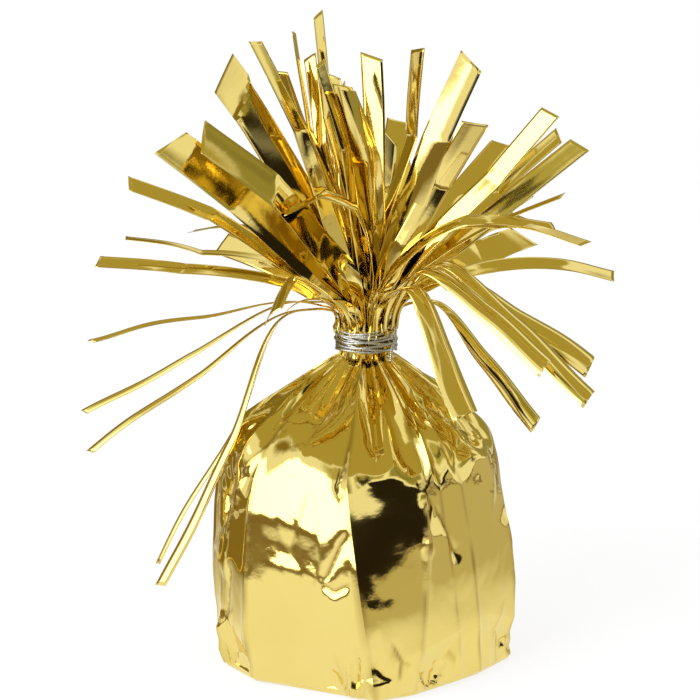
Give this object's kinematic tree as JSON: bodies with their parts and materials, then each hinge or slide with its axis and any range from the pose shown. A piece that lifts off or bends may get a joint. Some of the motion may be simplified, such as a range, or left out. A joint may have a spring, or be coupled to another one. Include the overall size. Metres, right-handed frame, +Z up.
{
  "type": "balloon weight",
  "caption": "Gold foil balloon weight: a filled tub wrapped in pleated foil, tied at the neck with silver cord under a crown of slit foil fringe, with loose streamers.",
  "frame": {"origin": "middle of the flat base, on the surface that the weight stands on", "axes": "+Z up through the neck and the fringe; the pictured front faces -Y, with +X to its right"},
  "size_m": [0.1148, 0.083, 0.1399],
  "materials": {
    "gold_foil": "metallised mirror film, creased",
    "gold_fringe": "metallised mirror film, slit into strips",
    "silver_cord": "metallic twisted thread",
    "tub_plastic": "moulded",
    "ballast": "set plaster and sand"
  },
  "bodies": {
    "wrapped_weight": {"foil_wrapper": "gold_foil", "weight_shell": "tub_plastic", "base_plug": "tub_plastic", "ballast_fill": "ballast", "tie_cord": "silver_cord", "fringe_strip_01": "gold_fringe", "fringe_strip_02": "gold_fringe", "fringe_strip_03": "gold_fringe", "fringe_strip_04": "gold_fringe", "fringe_strip_05": "gold_fringe", "fringe_strip_06": "gold_fringe", "fringe_strip_07": "gold_fringe", "fringe_strip_08": "gold_fringe", "fringe_strip_09": "gold_fringe", "fringe_strip_10": "gold_fringe", "fringe_strip_11": "gold_fringe", "fringe_strip_12": "gold_fringe", "fringe_strip_13": "gold_fringe", "fringe_strip_14": "gold_fringe", "fringe_strip_15": "gold_fringe", "fringe_strip_16": "gold_fringe", "fringe_strip_17": "gold_fringe", "fringe_strip_18": "gold_fringe", "fringe_strip_19": "gold_fringe", "fringe_strip_20": "gold_fringe", "fringe_strip_21": "gold_fringe", "fringe_strip_22": "gold_fringe", "fringe_strip_23": "gold_fringe", "fringe_strip_24": "gold_fringe", "fringe_strip_25": "gold_fringe", "fringe_strip_26": "gold_fringe", "fringe_strip_27": "gold_fringe", "fringe_strip_28": "gold_fringe", "fringe_strip_29": "gold_fringe", "fringe_strip_30": "gold_fringe", "fringe_strip_31": "gold_fringe", "fringe_strip_32": "gold_fringe", "fringe_strip_33": "gold_fringe", "fringe_strip_34": "gold_fringe", "fringe_strip_35": "gold_fringe", "fringe_strip_36": "gold_fringe", "fringe_strip_37": "gold_fringe", "fringe_strip_38": "gold_fringe", "fringe_strip_39": "gold_fringe", "fringe_strip_40": "gold_fringe", "fringe_strip_41": "gold_fringe", "fringe_strip_42": "gold_fringe", "fringe_strip_43": "gold_fringe", "fringe_strip_44": "gold_fringe"},
    "streamer_left_level": {"streamer_left_level": "gold_fringe"},
    "streamer_left_upper": {"streamer_left_upper": "gold_fringe"},
    "streamer_left_lower": {"streamer_left_lower": "gold_fringe"},
    "streamer_left_back": {"streamer_left_back": "gold_fringe"},
    "streamer_left_long": {"streamer_left_long": "gold_fringe"},
    "streamer_front_shoulder": {"streamer_front_shoulder": "gold_fringe"},
    "streamer_right_dark": {"streamer_right_dark": "gold_fringe"},
    "streamer_right_pale": {"streamer_right_pale": "gold_fringe"},
    "streamer_right_short": {"streamer_right_short": "gold_fringe"},
    "streamer_right_wide": {"streamer_right_wide": "gold_fringe"}
  },
  "joints": [
    {"name": "left_level_sway", "type": "hinge", "parent": "wrapped_weight", "child": "streamer_left_level", "pos_m": [-0.00678, 0.00095, 0.076], "axis": [-0.0576, 0.9983, 0], "range_deg": [-8, 8], "stiffness_Nm_per_rad": 0.002},
    {"name": "left_upper_sway", "type": "hinge", "parent": "wrapped_weight", "child": "streamer_left_upper", "pos_m": [-0.00605, 0.00321, 0.076], "axis": [0.0582, 0.9983, 0], "range_deg": [-8, 8], "stiffness_Nm_per_rad": 0.002},
    {"name": "left_lower_sway", "type": "hinge", "parent": "wrapped_weight", "child": "streamer_left_lower", "pos_m": [-0.0067, -0.00142, 0.076], "axis": [-0.0517, 0.9987, 0], "range_deg": [-8, 8], "stiffness_Nm_per_rad": 0.002},
    {"name": "left_back_sway", "type": "hinge", "parent": "wrapped_weight", "child": "streamer_left_back", "pos_m": [-0.00458, 0.00509, 0.076], "axis": [0.1535, 0.9881, 0], "range_deg": [0, 10], "stiffness_Nm_per_rad": 0.002},
    {"name": "left_long_sway", "type": "hinge", "parent": "wrapped_weight", "child": "streamer_left_long", "pos_m": [-0.00581, -0.00363, 0.076], "axis": [-0.1482, 0.989, 0], "range_deg": [0, 10], "stiffness_Nm_per_rad": 0.002},
    {"name": "front_shoulder_sway", "type": "hinge", "parent": "wrapped_weight", "child": "streamer_front_shoulder", "pos_m": [0.00189, -0.00658, 0.076], "axis": [-0.7876, -0.6162, 0], "range_deg": [-5, 5], "stiffness_Nm_per_rad": 0.002},
    {"name": "right_dark_sway", "type": "hinge", "parent": "wrapped_weight", "child": "streamer_right_dark", "pos_m": [0.00402, -0.00554, 0.076], "axis": [-0.6439, -0.7651, 0], "range_deg": [-5, 5], "stiffness_Nm_per_rad": 0.002},
    {"name": "right_pale_sway", "type": "hinge", "parent": "wrapped_weight", "child": "streamer_right_pale", "pos_m": [0.00568, -0.00383, 0.076], "axis": [-0.5085, -0.8611, 0], "range_deg": [-5, 3], "stiffness_Nm_per_rad": 0.002},
    {"name": "right_short_sway", "type": "hinge", "parent": "wrapped_weight", "child": "streamer_right_short", "pos_m": [0.00682, 0.0006, 0.076], "axis": [-0.2309, -0.973, 0], "range_deg": [-6, 5], "stiffness_Nm_per_rad": 0.002},
    {"name": "right_wide_sway", "type": "hinge", "parent": "wrapped_weight", "child": "streamer_right_wide", "pos_m": [0.00664, -0.00166, 0.076], "axis": [-0.3197, -0.9475, 0], "range_deg": [-6, 5], "stiffness_Nm_per_rad": 0.002}
  ]
}
